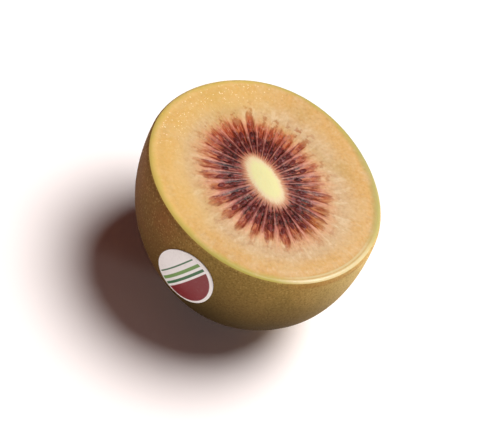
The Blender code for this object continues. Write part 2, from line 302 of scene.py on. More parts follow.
# Turned like a bowl from its section, then pressed to the fruit's own uneven outline
def makeFruitHalf():
    rows = sectionRows()
    section = []
    for row in rows:
        drop = row[1] if row[0] == "skin" else row[2]
        section.append((plainRadius(row) * millimetre, 0.0, -drop * millimetre))
    piece = spinBowl(section)

    # Each point finds its row and its spoke, and goes to its place on the real fruit
    points = readPoints(piece) / millimetre
    world = np.arctan2(points[:, 1], points[:, 0])
    flat = np.stack([np.hypot(points[:, 0], points[:, 1]), points[:, 2]], -1)
    target = np.array([[x, z] for x, _, z in section]) / millimetre
    ring = np.array([np.argmin(((target - spot) ** 2).sum(1)) for spot in flat])
    kinds = np.array([row[0] for row in rows])[ring]
    place = np.array([row[1] for row in rows])[ring]
    drop = np.array([row[2] for row in rows])[ring]
    turn = world - core["turn"]
    aim = aimOf(turn)
    index, across, chamberReach = chamberOf(turn)

    shaped = np.zeros_like(points)
    beyond = np.zeros(len(points))
    share = np.where(kinds == "core", place, 1.0)
    beyond[kinds == "chamber"] = place[kinds == "chamber"]
    beyond[(kinds != "core") & (kinds != "chamber")] = fruit["chamberZone"]
    shaped[:, :2] = faceSpot(turn, beyond, share)
    onFace = (kinds == "core") | (kinds == "chamber")
    sink = np.where(kinds == "chamber", sinkAt(beyond, across, chamberReach), 0.0)
    shaped[:, 2] = np.where(onFace, -drop - sink, 0.0)

    fleshEnd = fruit["edgeDipInside"] + fruit["edgeDipBlend"]
    outer = skinSpot(aim, np.zeros(len(points)), fleshEnd)
    flesh = kinds == "flesh"
    blend = place[:, None]
    shaped[flesh] = (shaped * (1.0 - blend) + outer * blend)[flesh]
    edge = kinds == "edge"
    edgeSpot = skinSpot(aim, np.where(edge, np.maximum(drop, 0.0), 0.0), np.where(edge, place, 0.0))
    shaped[edge] = edgeSpot[edge]
    skin = kinds == "skin"
    skinPlace = skinSpot(aim, np.where(skin, place, 1.0), 0.0)
    shaped[skin] = skinPlace[skin]
    base = kinds == "base"
    deepest = rows[-1][2]
    lastRing = skinSpot(aim, np.full(len(points), deepest), 0.0)
    lean = deepest / fruit["cutToTip"]
    middle = np.array([fruit["tipOffset"][0] * lean, fruit["tipOffset"][1] * lean, -deepest])
    shaped[base] = (middle + (lastRing - middle) * blend)[base]
    writePoints(piece, (shaped + np.array(fruit["standing"])) * millimetre)

    # Values that the finishes read: how far out from the core and in from the skin, how far across
    # its chamber, the chamber's own reach, width and tones, and the sides of the fruit
    fromCore = np.where(kinds == "core", (place - 1.0) * 4.0, beyond)
    fromCore[flesh] = fruit["chamberZone"] + place[flesh] * fruit["fleshSpan"]
    fromCore[~onFace & ~flesh] = fruit["rimDistance"]
    fromCore[edge] = fruit["rimDistance"] - place[edge]
    radial = np.hypot(shaped[:, 0] - outer[:, 0], shaped[:, 1] - outer[:, 1])
    toEdge = np.where(edge, place, fleshEnd + radial)
    toEdge[skin | base] = -np.where(skin, place, deepest)[skin | base]
    widths = np.random.default_rng(8).uniform(0.64, 0.92, len(chambers))
    azimuth = np.arctan2(shaped[:, 1], shaped[:, 0])
    addPointValue(piece, "fromCore", fromCore)
    addPointValue(piece, "chamberSide", np.abs(across))
    addPointValue(piece, "chamberReach", chamberReach)
    addPointValue(piece, "chamberWidth", widths[index])
    addPointValue(piece, "chamberTones", np.stack(toneOf(turn, index), -1))
    for name, sides in fruitSides.items():  # full within half of the reach, gone past 1.5 of it
        away = [np.abs(wrapped(azimuth - radians(side))) / radians(reach) for side, reach in sides]
        addPointValue(piece, name, np.stack([smooth(1.5 - part) for part in away], -1))
    addPointValue(piece, "toEdge", toEdge)
    stretched = fromCore / fruit["fibreStretch"]
    addPointValue(piece, "spoke", np.stack([np.cos(turn), np.sin(turn), stretched], -1))

    # The skin's finish starts on the rounded edge and goes all the way down
    piece.data.materials.append(None)
    piece.data.materials.append(None)
    skinTop = (fruit["standing"][2] - fruit["skinBelow"]) * millimetre
    for face in piece.data.polygons:
        face.material_index = 1 if face.center.z < skinTop else 0
    selectOnly(piece)
    bpy.ops.object.shade_smooth()
    print("fruit half:", len(piece.data.polygons), "faces")
    return piece


seedShape = dict(  # in millimetres, apart from the angles and the counts
    halfLength=0.98,
    halfWidth=0.52,
    halfHeight=0.34,
    taper=0.22,  # narrower at its outer end
    sunk=0.16,  # middle of a seed below the floor of its chamber
    spread=1.6,  # degrees to either side of the chamber's middle
    slant=14.0,  # degrees out of line with the spoke
    sides=14,
    rings=10,
)


# One drop-shaped seed, copied into every chamber and joined to one piece
def makeSeeds():
    rng = np.random.default_rng(41)
    tones = np.random.default_rng(12)
    copies = []
    sides, rings = seedShape["sides"], seedShape["rings"]
    bpy.ops.object.select_all(action="DESELECT")
    bpy.ops.mesh.primitive_uv_sphere_add(segments=sides, ring_count=rings, radius=1.0)
    first = bpy.context.object
    bpy.ops.object.mode_set(mode="EDIT")
    bpy.ops.mesh.select_all(action="SELECT")
    bpy.ops.transform.resize(
        value=(seedShape["halfHeight"], seedShape["halfWidth"], seedShape["halfLength"])
    )
    bpy.ops.object.mode_set(mode="OBJECT")
    plain = readPoints(first)
    plain[:, 1] *= 1.0 - seedShape["taper"] * plain[:, 2] / seedShape["halfLength"]
    for middle, reach, distances in chambers:
        for beyond in distances:
            turn = middle + rng.uniform(-seedShape["spread"], seedShape["spread"])
            inner = faceSpot(np.radians(turn), beyond - 0.1, 1.0)
            outer = faceSpot(np.radians(turn), beyond + 0.1, 1.0)
            slant = rng.uniform(-seedShape["slant"], seedShape["slant"])
            spoke = np.arctan2(*(outer - inner)[::-1]) + radians(slant)
            size = rng.uniform(0.88, 1.08)
            forward = np.array([np.cos(spoke), np.sin(spoke), 0.0])
            sideways = np.array([-np.sin(spoke), np.cos(spoke), 0.0])
            upward = np.array([0.0, 0.0, 1.0])
            level = -float(sinkAt(beyond, np.array(0.0), reach)) - seedShape["sunk"]
            spot = np.append((inner + outer) / 2.0, level) + np.array(fruit["standing"])
            local = plain * size
            placed = spot + local[:, 2:] * forward + local[:, 1:2] * sideways + local[:, :1] * upward
            copy = first.copy()
            copy.data = first.data.copy()
            bpy.context.collection.objects.link(copy)
            writePoints(copy, placed * millimetre)
            # Juice reddens the outer seeds; round the foot of each, painted light in the juice colour
            # offsets the shade where the seed meets the flesh
            redness = smooth((beyond / reach - 0.38) / 0.25) * 0.45 + tones.uniform(0.0, 0.35)
            paintedLightAtFoot = 1.0 - smooth((plain[:, 0] / seedShape["halfHeight"] - 0.5) / 0.35)
            addPointValue(copy, "underJuice", np.minimum(redness + 0.65 * paintedLightAtFoot, 1.0))
            copies.append(copy)
    bpy.data.objects.remove(first)
    bpy.ops.object.select_all(action="DESELECT")
    for copy in copies:
        copy.select_set(True)
    bpy.context.view_layer.objects.active = copies[0]
    bpy.ops.object.join()
    piece = bpy.context.object
    piece.name = piece.data.name = "kiwiSeeds"
    bpy.ops.object.mode_set(mode="EDIT")
    bpy.ops.mesh.select_all(action="SELECT")
    bpy.ops.mesh.normals_make_consistent(inside=False)
    bpy.ops.object.mode_set(mode="OBJECT")
    bpy.ops.object.shade_smooth()
    print("seeds:", len(copies))
    return piece


sticker = dict(
    anchor=(16.74, -18.56, -8.95),  # from the middle of the cut
    centre=(-0.54, -1.96),  # sideways and up from the anchor
    longHalf=8.15,
    wideHalf=6.14,
    turn=radians(66.0),
    lift=0.24,  # top of the sheet above the skin
    edgeDrop=0.06,  # its edge is pressed down by this much
    thickness=0.2,
    sides=96,
    rings=14,
    insetReach=0.92,  # share of the half width that the rings of mesh cover
)


# Over 0 outside the skin and under 0 inside it, for points from the middle of the cut
def outsideOf(points):
    depth = -points[:, 2]
    lean = depth / fruit["cutToTip"]
    x = (points[:, 0] - fruit["tipOffset"][0] * lean) / fruit["longHalf"]
    y = (points[:, 1] - fruit["tipOffset"][1] * lean) / fruit["wideHalf"]
    angle = np.arctan2(y, x)
    radius = (np.hypot(x, y) - swellAt(angle, depth) / fruit["longHalf"]) / outlineFactor(angle)
    reach = np.abs(depth - fruit["girthBelowCut"]) / (fruit["cutToTip"] - fruit["girthBelowCut"])
    return radius ** fruit["fullness"] + reach ** fruit["fullness"] - 1.0


# The direction straight out of the skin
def outwardAt(points):
    slope = np.zeros_like(points)
    for axis in range(3):
        step = np.zeros(3)
        step[axis] = 0.01
        slope[:, axis] = outsideOf(points + step) - outsideOf(points - step)
    return slope / np.linalg.norm(slope, axis=1, keepdims=True)


# Moves points along a direction until they lie on the skin
def ontoSkin(points, direction):
    low = np.full(len(points), -6.0)
    high = np.full(len(points), 6.0)
    for _ in range(40):
        middle = (low + high) / 2.0
        out = outsideOf(points + direction * middle[:, None]) > 0.0
        high = np.where(out, middle, high)
        low = np.where(out, low, middle)
    return points + direction * ((low + high) / 2.0)[:, None]


# A thin oval sheet, inset ring by ring, laid on the skin and given its thickness
def makeSticker():
    bpy.ops.object.select_all(action="DESELECT")
    bpy.ops.mesh.primitive_circle_add(vertices=sticker["sides"], radius=1.0, fill_type="NGON")
    piece = bpy.context.object
    piece.name = piece.data.name = "stickerSheet"
    bpy.ops.object.mode_set(mode="EDIT")
    bpy.ops.mesh.select_all(action="SELECT")
    for _ in range(sticker["rings"]):
        bpy.ops.mesh.inset(thickness=sticker["insetReach"] / sticker["rings"], use_boundary=True)
    bpy.ops.mesh.poke()
    bpy.ops.object.mode_set(mode="OBJECT")
    flat = readPoints(piece)
    turn = sticker["turn"]
    along = flat[:, 0] * sticker["longHalf"]
    over = flat[:, 1] * sticker["wideHalf"]
    u = sticker["centre"][0] + along * np.cos(turn) - over * np.sin(turn)
    v = sticker["centre"][1] + along * np.sin(turn) + over * np.cos(turn)
    anchor = np.array([sticker["anchor"]])
    facing = outwardAt(anchor)[0]
    upward = np.array([0.0, 0.0, 1.0])
    upward = upward - facing * (upward @ facing)
    upward /= np.linalg.norm(upward)
    sideways = np.cross(upward, facing)
    start = ontoSkin(anchor, facing)[0]
    spots = ontoSkin(start + u[:, None] * sideways + v[:, None] * upward, facing)
    edge = np.hypot(flat[:, 0], flat[:, 1])
    lift = sticker["lift"] - sticker["edgeDrop"] * smooth((edge - 0.93) / 0.07)
    spots = spots + outwardAt(spots) * lift[:, None]
    writePoints(piece, (spots + np.array(fruit["standing"])) * millimetre)
    addPointValue(piece, "printPlace", np.stack([u, v, edge], -1))
    selectOnly(piece)
    bpy.ops.object.mode_set(mode="EDIT")
    bpy.ops.mesh.select_all(action="SELECT")
    bpy.ops.mesh.normals_make_consistent(inside=False)
    bpy.ops.object.mode_set(mode="OBJECT")
    middle = piece.data.polygons[0]
    if (np.array(middle.normal) @ facing) < 0.0:
        piece.data.flip_normals()
    wall = piece.modifiers.new("paperThickness", "SOLIDIFY")
    wall.thickness = sticker["thickness"] * millimetre
    wall.offset = -1.0
    bpy.ops.object.modifier_apply(modifier=wall.name)
    bpy.ops.object.shade_smooth_by_angle(angle=radians(40.0))
    print("sticker:", len(piece.data.polygons), "faces")
    return piece


# sRGB hex to the linear colour that the nodes take
def linear(code):
    parts = [int(code[i : i + 2], 16) / 255.0 for i in (1, 3, 5)]
    return [p / 12.92 if p <= 0.04045 else ((p + 0.055) / 1.055) ** 2.4 for p in parts] + [1.0]


# Adds one node and hands back one of its outputs. A socket among the inputs is linked, a hex code
# turns into a colour, anything else is set; stops fill a colour ramp. Map Range takes 0 for the
# value, 1 and 2 for the range it comes from, 3 and 4 for what it turns into; Mix takes 0 for the
# share, 6 and 7 for the colours
def add(tree, kind, inputs=None, output=0, stops=None, **settings):
    node = tree.nodes.new("ShaderNode" + kind)
    for key, value in settings.items():
        setattr(node, key, value)
    for key, value in (inputs or {}).items():
        if isinstance(value, bpy.types.NodeSocket):
            tree.links.new(value, node.inputs[key])
        else:
            node.inputs[key].default_value = linear(value) if isinstance(value, str) else value
    if stops:
        elements = node.color_ramp.elements
        elements.remove(elements[-1])
        elements[0].position = stops[0][0]
        elements[0].color = linear(stops[0][1])
        for place, code in stops[1:]:
            elements.new(place).color = linear(code)
    return node.outputs[output]


def newFinish(name, **settings):
    finish = bpy.data.materials.new(name)
    finish.use_nodes = True
    shader = finish.node_tree.nodes["Principled BSDF"]
    for key, value in settings.items():
        shader.inputs[key.replace("_", " ")].default_value = value
    return finish, finish.node_tree, shader


eased = dict(interpolation_type="SMOOTHSTEP")
paint = dict(output=2, data_type="RGBA")

# Values that lie in a vector on the mesh, by the vector's name and the axis
vectorParts = dict(
    orangeShare=("chamberTones", "X"),
    brownShare=("chamberTones", "Y"),
    paleShare=("chamberTones", "Z"),
    front=("rimSides", "X"),
    right=("rimSides", "Y"),
    farSide=("rimSides", "Z"),
    goldSide=("paintedLightAndShadeSides", "X"),
    glintSide=("paintedLightAndShadeSides", "Y"),
    brownSide=("paintedLightAndShadeSides", "Z"),
    u=("printPlace", "X"),
    v=("printPlace", "Y"),
    edge=("printPlace", "Z"),
)


# Hands back the place on the object and the named values that its mesh carries
def meshValues(tree, *names):
    at = SimpleNamespace(places=add(tree, "TexCoord", output="Object"))
    for name in names:
        if name in vectorParts:
            vector, axis = vectorParts[name]
            whole = add(tree, "Attribute", output="Vector", attribute_name=vector)
            value = add(tree, "SeparateXYZ", {0: whole}, output=axis)
        else:
            value = add(tree, "Attribute", output="Fac", attribute_name=name)
        setattr(at, name, value)
    return at


# Ray colours by share of the chamber's reach, wall colours by distance from the core / 16 mm
fleshLook = dict(
    core="#dcd79c",
    coreSide="#dcc8a0",
    coreRim="#be8868",
    wineStops=((0.08, "#b06e56"), (0.18, "#8a3e38"), (0.38, "#783230"), (0.55, "#924238"),
               (0.8, "#a0523c"), (1.0, "#b27448")),
    orangeStops=((0.08, "#ac6850"), (0.18, "#843230"), (0.38, "#6c2424"), (0.55, "#90301c"),
                 (0.8, "#a8441e"), (1.0, "#b8622e")),
    brownStops=((0.08, "#b26c52"), (0.18, "#88342c"), (0.38, "#6e221c"), (0.58, "#8e3e22"),
                (0.8, "#ac6634"), (1.0, "#c08e5c")),
    paleRay="#c87c60",
    rayLine=((0.5, "#3c100f"), (0.8, "#7a2a1a")),
    rayBlot="#2c0c0c",
    raySmear="#200806",
    # painted mauve-grey highlights in the seed zone
    rayPaintedGlint="#946468",
    rayMiddle="#c86f50",
    rayStreaks=((0.5, 0.6, 0.6, "#7a2c16"), (0.47, 0.38, 0.5, "#cc8a5e")),  # noise range, strength
    rayDarkFibre="#3e1210",
    rayPaleFibre="#a86450",
    rayTail="#a4683e",
    pinkWall=((0.05, "#b27860"), (0.12, "#88423a"), (0.2, "#763236"), (0.3, "#7e3a3c"),
              (0.42, "#ac6056"), (0.6, "#d09e74")),
    orangeWall=((0.05, "#ae745a"), (0.12, "#823a36"), (0.22, "#6a2629"), (0.34, "#7e3233"),
                (0.5, "#b66046"), (0.66, "#d09c60")),
    wallRidge="#eab094",
    wallBlot="#4a1c1c",
    wallDarkFibre="#7c3a34",
    wallPaleFibre="#cc8c78",
    flesh="#c6a57c",
    fleshWarm="#cda264",
    fleshPale="#d4ba92",
    fleshVein="#dcc49e",
    fleshOlive="#b8944e",
    # painted light on the left side's flesh
    fleshPaintedLight="#e4bc68",
    grainPale="#fff0d8",
    grainDark="#8a5a30",
    # painted glints of wet cells near the left rim
    paintedGlintColour="#fff0c8",
    rimPale="#aea664",
    rimGreen="#b2a452",
    rimGold="#bc9c60",
    # painted highlight for the front rim's two lines
    rimPaintedHighlight="#d8cb9c",
    rimPaintedHighlightLines=((0.6, 0.55, 0.8), (1.45, 0.34, 0.6)),  # distance from the edge, half width, strength
    rimGrey="#7c8668",
)


# What the flesh colours are mixed by: values from the mesh, noises and shares worked out from them
def fleshValues(tree):
    at = meshValues(
        tree, "fromCore", "chamberSide", "chamberReach", "chamberWidth", "toEdge",
        "orangeShare", "brownShare", "paleShare",
        "front", "right", "farSide", "glintSide", "brownSide",
    )
    spoke = at.spoke = add(tree, "Attribute", output="Vector", attribute_name="spoke")

    # Fibres run out from the core, so these noises are stretched along the spokes
    at.fibre = add(tree, "TexNoise", {"Vector": spoke, "Scale": 38.0, "Detail": 3.0})  # 0.2 by 1.6 mm
    at.smear = add(tree, "TexNoise", {"Vector": spoke, "Scale": 24.0, "Detail": 2.0})  # 0.4 by 2.5 mm
    at.streak = add(tree, "TexNoise", {"Vector": spoke, "Scale": 13.0, "Detail": 2.0})  # 0.6 by 4.6 mm
    at.grain = add(tree, "TexNoise", {"Vector": at.places, "Scale": 1500.0, "Detail": 4.0})  # 0.7 mm
    at.pulp = add(tree, "TexNoise", {"Vector": at.places, "Scale": 900.0, "Detail": 2.0})  # 1 mm
    at.cloud = add(tree, "TexNoise", {"Vector": at.places, "Scale": 260.0, "Detail": 3.0})  # 4 mm
    at.patch = add(tree, "TexNoise", {"Vector": at.places, "Scale": 95.0, "Detail": 2.0})  # 10 mm

    # Streaks push the chambers' sides and ends about, so that no two are alike
    wander = add(tree, "Math", {0: at.streak, 1: 0.5, 2: -0.25}, operation="MULTIPLY_ADD")
    at.side = add(tree, "Math", {0: at.chamberSide, 1: wander}, operation="ADD")
    ragged = add(tree, "Math", {0: at.fibre, 1: 0.6, 2: -0.3}, operation="MULTIPLY_ADD")
    ragged = add(tree, "Math", {0: at.streak, 1: 3.6, 2: ragged}, operation="MULTIPLY_ADD")
    along = add(tree, "Math", {0: at.fromCore, 1: ragged}, operation="ADD")
    at.along = add(tree, "Math", {0: along, 1: 1.8}, operation="SUBTRACT")
    at.share = add(tree, "Math", {0: at.along, 1: at.chamberReach}, operation="DIVIDE")

    # A chamber keeps its width for most of its way and closes to a blunt tip
    width = add(tree, "MapRange", {0: at.share, 1: 0.88, 2: 1.12, 3: at.chamberWidth, 4: -0.1}, **eased)
    at.within = add(tree, "Math", {0: width, 1: at.side}, operation="SUBTRACT")
    soft = add(tree, "MapRange", {0: at.share, 1: 0.6, 2: 1.0, 3: 0.1, 4: 0.26})
    inside = add(tree, "MapRange", {0: at.within, 1: -0.08, 2: soft}, **eased)
    tip = add(tree, "MapRange", {0: at.share, 1: 1.1, 2: 0.84, 3: 0.25, 4: 1.0}, **eased)
    at.inside = add(tree, "Math", {0: inside, 1: tip}, operation="MULTIPLY")

    # Dark blots crowd where the seeds lie
    at.seedZone = add(tree, "MapRange", {0: at.share, 1: 0.66, 2: 0.5}, **eased)
    crowd = add(tree, "MapRange", {0: at.cloud, 1: 0.4, 2: 0.62, 3: 0.3, 4: 0.95}, **eased)
    blots = add(tree, "MapRange", {0: at.pulp, 1: 0.54, 2: 0.38, 3: 0.0, 4: crowd}, **eased)
    blotStart = add(tree, "MapRange", {0: at.fromCore, 1: 0.8, 2: 1.8}, **eased)
    for limit in (at.seedZone, blotStart):
        blots = add(tree, "Math", {0: blots, 1: limit}, operation="MULTIPLY")
    at.blots = blots

    darkGain = add(tree, "MapRange", {0: at.along, 1: 5.0, 2: 9.0, 3: 0.6, 4: 0.25}, **eased)
    at.darkFibre = add(tree, "MapRange", {0: at.fibre, 1: 0.5, 2: 0.36, 3: 0.0, 4: darkGain}, **eased)
    paleGain = add(tree, "MapRange", {0: at.along, 1: 1.5, 2: 6.0, 3: 0.35, 4: 0.5}, **eased)
    at.paleFibre = add(tree, "MapRange", {0: at.fibre, 1: 0.54, 2: 0.72, 3: 0.0, 4: paleGain}, **eased)
    return at


# The red rays: darkest round the seeds, with a dark line inside each side and a warm outer end
def rayColour(tree, at):
    look = fleshLook
    wine = add(tree, "ValToRGB", {0: at.share}, stops=look["wineStops"])
    orange = add(tree, "ValToRGB", {0: at.share}, stops=look["orangeStops"])
    brown = add(tree, "ValToRGB", {0: at.share}, stops=look["brownStops"])
    colour = add(tree, "Mix", {0: at.orangeShare, 6: wine, 7: orange}, **paint)
    colour = add(tree, "Mix", {0: at.brownShare, 6: colour, 7: brown}, **paint)
    pale = add(tree, "MapRange", {0: at.share, 1: 0.3, 2: 0.6, 3: 0.1, 4: 0.5}, **eased)
    pale = add(tree, "Math", {0: pale, 1: at.paleShare}, operation="MULTIPLY")
    colour = add(tree, "Mix", {0: pale, 6: colour, 7: look["paleRay"]}, **paint)

    line = add(tree, "MapRange", {0: at.within, 1: 0.4, 2: 0.2}, **eased)
    lineEnd = add(tree, "MapRange", {0: at.share, 1: 1.04, 2: 0.8, 3: 0.0, 4: 0.8}, **eased)
    for limit in (at.inside, lineEnd):
        line = add(tree, "Math", {0: line, 1: limit}, operation="MULTIPLY")
    lineColour = add(tree, "ValToRGB", {0: at.share}, stops=look["rayLine"])
    colour = add(tree, "Mix", {0: line, 6: colour, 7: lineColour}, **paint)

    colour = add(tree, "Mix", {0: at.blots, 6: colour, 7: look["rayBlot"]}, **paint)
    # Painted highlights: mauve-grey glints in the seed zone
    paintedGlints = add(tree, "MapRange", {0: at.pulp, 1: 0.56, 2: 0.68, 3: 0.0, 4: 0.45}, **eased)
    paintedGlints = add(tree, "Math", {0: paintedGlints, 1: at.seedZone}, operation="MULTIPLY")
    colour = add(tree, "Mix", {0: paintedGlints, 6: colour, 7: look["rayPaintedGlint"]}, **paint)
    smears = add(tree, "MapRange", {0: at.smear, 1: 0.5, 2: 0.58, 3: 0.0, 4: 0.9}, **eased)
    smearStart = add(tree, "MapRange", {0: at.fromCore, 1: 1.6, 2: 2.6}, **eased)
    smearEnd = add(tree, "MapRange", {0: at.share, 1: 0.78, 2: 0.5}, **eased)
    for limit in (smearStart, smearEnd):
        smears = add(tree, "Math", {0: smears, 1: limit}, operation="MULTIPLY")
    colour = add(tree, "Mix", {0: smears, 6: colour, 7: look["raySmear"]}, **paint)

    # The outer half is streaky, and lighter along the middle
    outward = add(tree, "MapRange", {0: at.share, 1: 0.45, 2: 0.75}, **eased)
    middle = add(tree, "MapRange", {0: at.side, 1: 0.2, 2: -0.05, 3: 0.0, 4: 0.3}, **eased)
    middle = add(tree, "Math", {0: middle, 1: outward}, operation="MULTIPLY")
    colour = add(tree, "Mix", {0: middle, 6: colour, 7: look["rayMiddle"]}, **paint)
    for low, high, most, code in look["rayStreaks"]:
        streaks = add(tree, "MapRange", {0: at.smear, 1: low, 2: high, 3: 0.0, 4: most}, **eased)
        streaks = add(tree, "Math", {0: streaks, 1: outward}, operation="MULTIPLY")
        colour = add(tree, "Mix", {0: streaks, 6: colour, 7: code}, **paint)
    colour = add(tree, "Mix", {0: at.darkFibre, 6: colour, 7: look["rayDarkFibre"]}, **paint)
    return add(tree, "Mix", {0: at.paleFibre, 6: colour, 7: look["rayPaleFibre"]}, **paint)


# Walls between the chambers, from dark pink at the core to the gold of the outer flesh
def wallColour(tree, at):
    look = fleshLook
    far = add(tree, "Math", {0: at.along, 1: 16.0}, operation="DIVIDE")
    pink = add(tree, "ValToRGB", {0: far}, stops=look["pinkWall"])
    warmPink = add(tree, "ValToRGB", {0: far}, stops=look["orangeWall"])
    colour = add(tree, "Mix", {0: at.orangeShare, 6: pink, 7: warmPink}, **paint)
    ridgeGain = add(tree, "MapRange", {0: at.along, 1: 1.5, 2: 6.0, 3: 0.22, 4: 0.3}, **eased)
    ridge = add(tree, "MapRange", {0: at.side, 1: 0.78, 2: 1.0, 3: 0.0, 4: ridgeGain}, **eased)
    colour = add(tree, "Mix", {0: ridge, 6: colour, 7: look["wallRidge"]}, **paint)
    blots = add(tree, "Math", {0: at.blots, 1: 0.6}, operation="MULTIPLY")
    colour = add(tree, "Mix", {0: blots, 6: colour, 7: look["wallBlot"]}, **paint)
    colour = add(tree, "Mix", {0: at.darkFibre, 6: colour, 7: look["wallDarkFibre"]}, **paint)
    return add(tree, "Mix", {0: at.paleFibre, 6: colour, 7: look["wallPaleFibre"]}, **paint)


# The outer flesh: mottled gold with pale streaks, warmer near the skin
def outerColour(tree, at):
    look = fleshLook
    outwards = add(tree, "MapRange", {0: at.fromCore, 1: 12.0, 2: 20.0}, **eased)
    colour = add(tree, "Mix", {0: outwards, 6: look["flesh"], 7: look["fleshWarm"]}, **paint)
    pale = add(tree, "MapRange", {0: at.fibre, 1: 0.5, 2: 0.75, 3: 0.0, 4: 0.4}, **eased)
    colour = add(tree, "Mix", {0: pale, 6: colour, 7: look["fleshPale"]}, **paint)
    veins = add(tree, "MapRange", {0: at.streak, 1: 0.54, 2: 0.64, 3: 0.0, 4: 0.5}, **eased)
    veinEnd = add(tree, "MapRange", {0: at.fromCore, 1: 19.0, 2: 13.0}, **eased)
    veins = add(tree, "Math", {0: veins, 1: veinEnd}, operation="MULTIPLY")
    colour = add(tree, "Mix", {0: veins, 6: colour, 7: look["fleshVein"]}, **paint)
    clouds = add(tree, "MapRange", {0: at.cloud, 1: 0.42, 2: 0.7, 3: 0.0, 4: 0.3}, **eased)
    colour = add(tree, "Mix", {0: clouds, 6: colour, 7: look["fleshPale"]}, **paint)
    olive = add(tree, "MapRange", {0: at.patch, 1: 0.5, 2: 0.68, 3: 0.0, 4: 0.4}, **eased)
    return add(tree, "Mix", {0: olive, 6: colour, 7: look["fleshOlive"]}, **paint)


# Smudges where a ray thins out past its tip, longest on the orange side
def addTails(tree, at, colour):
    most = add(tree, "MapRange", {0: at.orangeShare, 3: 0.4, 4: 0.85})
    tail = add(tree, "MapRange", {0: at.pulp, 1: 0.48, 2: 0.6, 3: 0.0, 4: most}, **eased)
    start = add(tree, "MapRange", {0: at.share, 1: 0.75, 2: 0.95}, **eased)
    end = add(tree, "MapRange", {0: at.share, 1: 1.45, 2: 1.05}, **eased)
    narrow = add(tree, "MapRange", {0: at.side, 1: 0.7, 2: 0.4}, **eased)
    for limit in (start, end, narrow):
        tail = add(tree, "Math", {0: tail, 1: limit}, operation="MULTIPLY")
    return add(tree, "Mix", {0: tail, 6: colour, 7: fleshLook["rayTail"]}, **paint)


# Fine pale and dark grain of the pulp, all over
def addGrain(tree, at, colour):
    pale = add(tree, "MapRange", {0: at.grain, 1: 0.5, 2: 0.75, 3: 0.0, 4: 0.1}, **eased)
    colour = add(tree, "Mix", {0: pale, 6: colour, 7: fleshLook["grainPale"]}, **paint)
    dark = add(tree, "MapRange", {0: at.grain, 1: 0.5, 2: 0.28, 3: 0.0, 4: 0.18}, **eased)
    return add(tree, "Mix", {0: dark, 6: colour, 7: fleshLook["grainDark"]}, **paint)


# The pale core, its edge drawn out in fine fibres
def addCore(tree, at, colour):
    fray = add(tree, "Math", {0: at.fibre, 1: 2.0, 2: -1.0}, operation="MULTIPLY_ADD")
    frayed = add(tree, "Math", {0: at.fromCore, 1: fray}, operation="ADD")
    for start, end, name in ((1.2, 0.2, "coreRim"), (0.4, -0.5, "coreSide"), (-0.4, -1.5, "core")):
        share = add(tree, "MapRange", {0: frayed, 1: start, 2: end}, **eased)
        colour = add(tree, "Mix", {0: share, 6: colour, 7: fleshLook[name]}, **paint)
    return colour


# The rim under the skin: green on the left, two painted highlight lines in front, a broad pale band on
# the right and a thin grey edge along the far side
def addRim(tree, at, colour):
    look = fleshLook
    uneven = add(tree, "Math", {0: at.cloud, 1: 1.6, 2: -0.8}, operation="MULTIPLY_ADD")
    ringEdge = add(tree, "Math", {0: at.toEdge, 1: uneven}, operation="ADD")
    reachIn = add(tree, "MapRange", {0: at.right, 3: 2.0, 4: 2.6})
    ring = add(tree, "MapRange", {0: ringEdge, 1: reachIn, 2: 0.3}, **eased)
    ringColour = add(tree, "Mix", {0: at.right, 6: look["rimGreen"], 7: look["rimPale"]}, **paint)
    ringColour = add(tree, "Mix", {0: at.front, 6: ringColour, 7: look["rimGold"]}, **paint)
    colour = add(tree, "Mix", {0: ring, 6: colour, 7: ringColour}, **paint)
    # Two painted highlight lines along the front rim
    for middle, half, most in look["rimPaintedHighlightLines"]:
        away = add(tree, "Math", {0: at.toEdge, 1: middle}, operation="SUBTRACT")
        away = add(tree, "Math", {0: away}, operation="ABSOLUTE")
        line = add(tree, "MapRange", {0: away, 1: half, 2: half * 0.3, 3: 0.0, 4: most}, **eased)
        line = add(tree, "Math", {0: line, 1: at.front}, operation="MULTIPLY")
        colour = add(tree, "Mix", {0: line, 6: colour, 7: look["rimPaintedHighlight"]}, **paint)
    lip = add(tree, "MapRange", {0: at.toEdge, 1: 0.8, 2: 0.3, 3: 0.0, 4: 0.85}, **eased)
    lip = add(tree, "Math", {0: lip, 1: at.farSide}, operation="MULTIPLY")
    return add(tree, "Mix", {0: lip, 6: colour, 7: look["rimGrey"]}, **paint)


# Painted light: the left side's flesh is painted a lighter yellow, and painted glints stand for small
# wet cells near its rim
def addPaintedGlints(tree, at, colour):
    # Painted light: the flesh on the left side is lightened
    paintedLightLeftSide = add(tree, "Math", {0: at.brownSide, 1: at.glintSide}, operation="MAXIMUM")
    paintedLight = add(tree, "MapRange", {0: at.fromCore, 1: 9.0, 2: 15.0, 3: 0.0, 4: 0.38}, **eased)
    paintedLight = add(tree, "Math", {0: paintedLight, 1: paintedLightLeftSide}, operation="MULTIPLY")
    colour = add(tree, "Mix", {0: paintedLight, 6: colour, 7: fleshLook["fleshPaintedLight"]}, **paint)
    # Painted glints: small pale flecks near the left rim
    cellPlace = add(tree, "VectorMath", {0: at.spoke, 1: (1.0, 1.0, 2.0)}, operation="MULTIPLY")
    cells = add(tree, "TexVoronoi", {"Vector": cellPlace, "Scale": 40.0})  # 0.5 by 0.8 mm apart
    paintedGlint = add(tree, "MapRange", {0: cells, 1: 0.32, 2: 0.12}, **eased)
    patches = add(tree, "MapRange", {0: at.pulp, 1: 0.44, 2: 0.56}, **eased)
    nearRim = add(tree, "MapRange", {0: at.toEdge, 1: 9.0, 2: 3.5}, **eased)
    notAtEdge = add(tree, "MapRange", {0: at.toEdge, 1: 1.2, 2: 2.2}, **eased)
    for limit in (patches, nearRim, notAtEdge, at.glintSide):
        paintedGlint = add(tree, "Math", {0: paintedGlint, 1: limit}, operation="MULTIPLY")
    return add(tree, "Mix", {0: paintedGlint, 6: colour, 7: fleshLook["paintedGlintColour"]}, **paint)


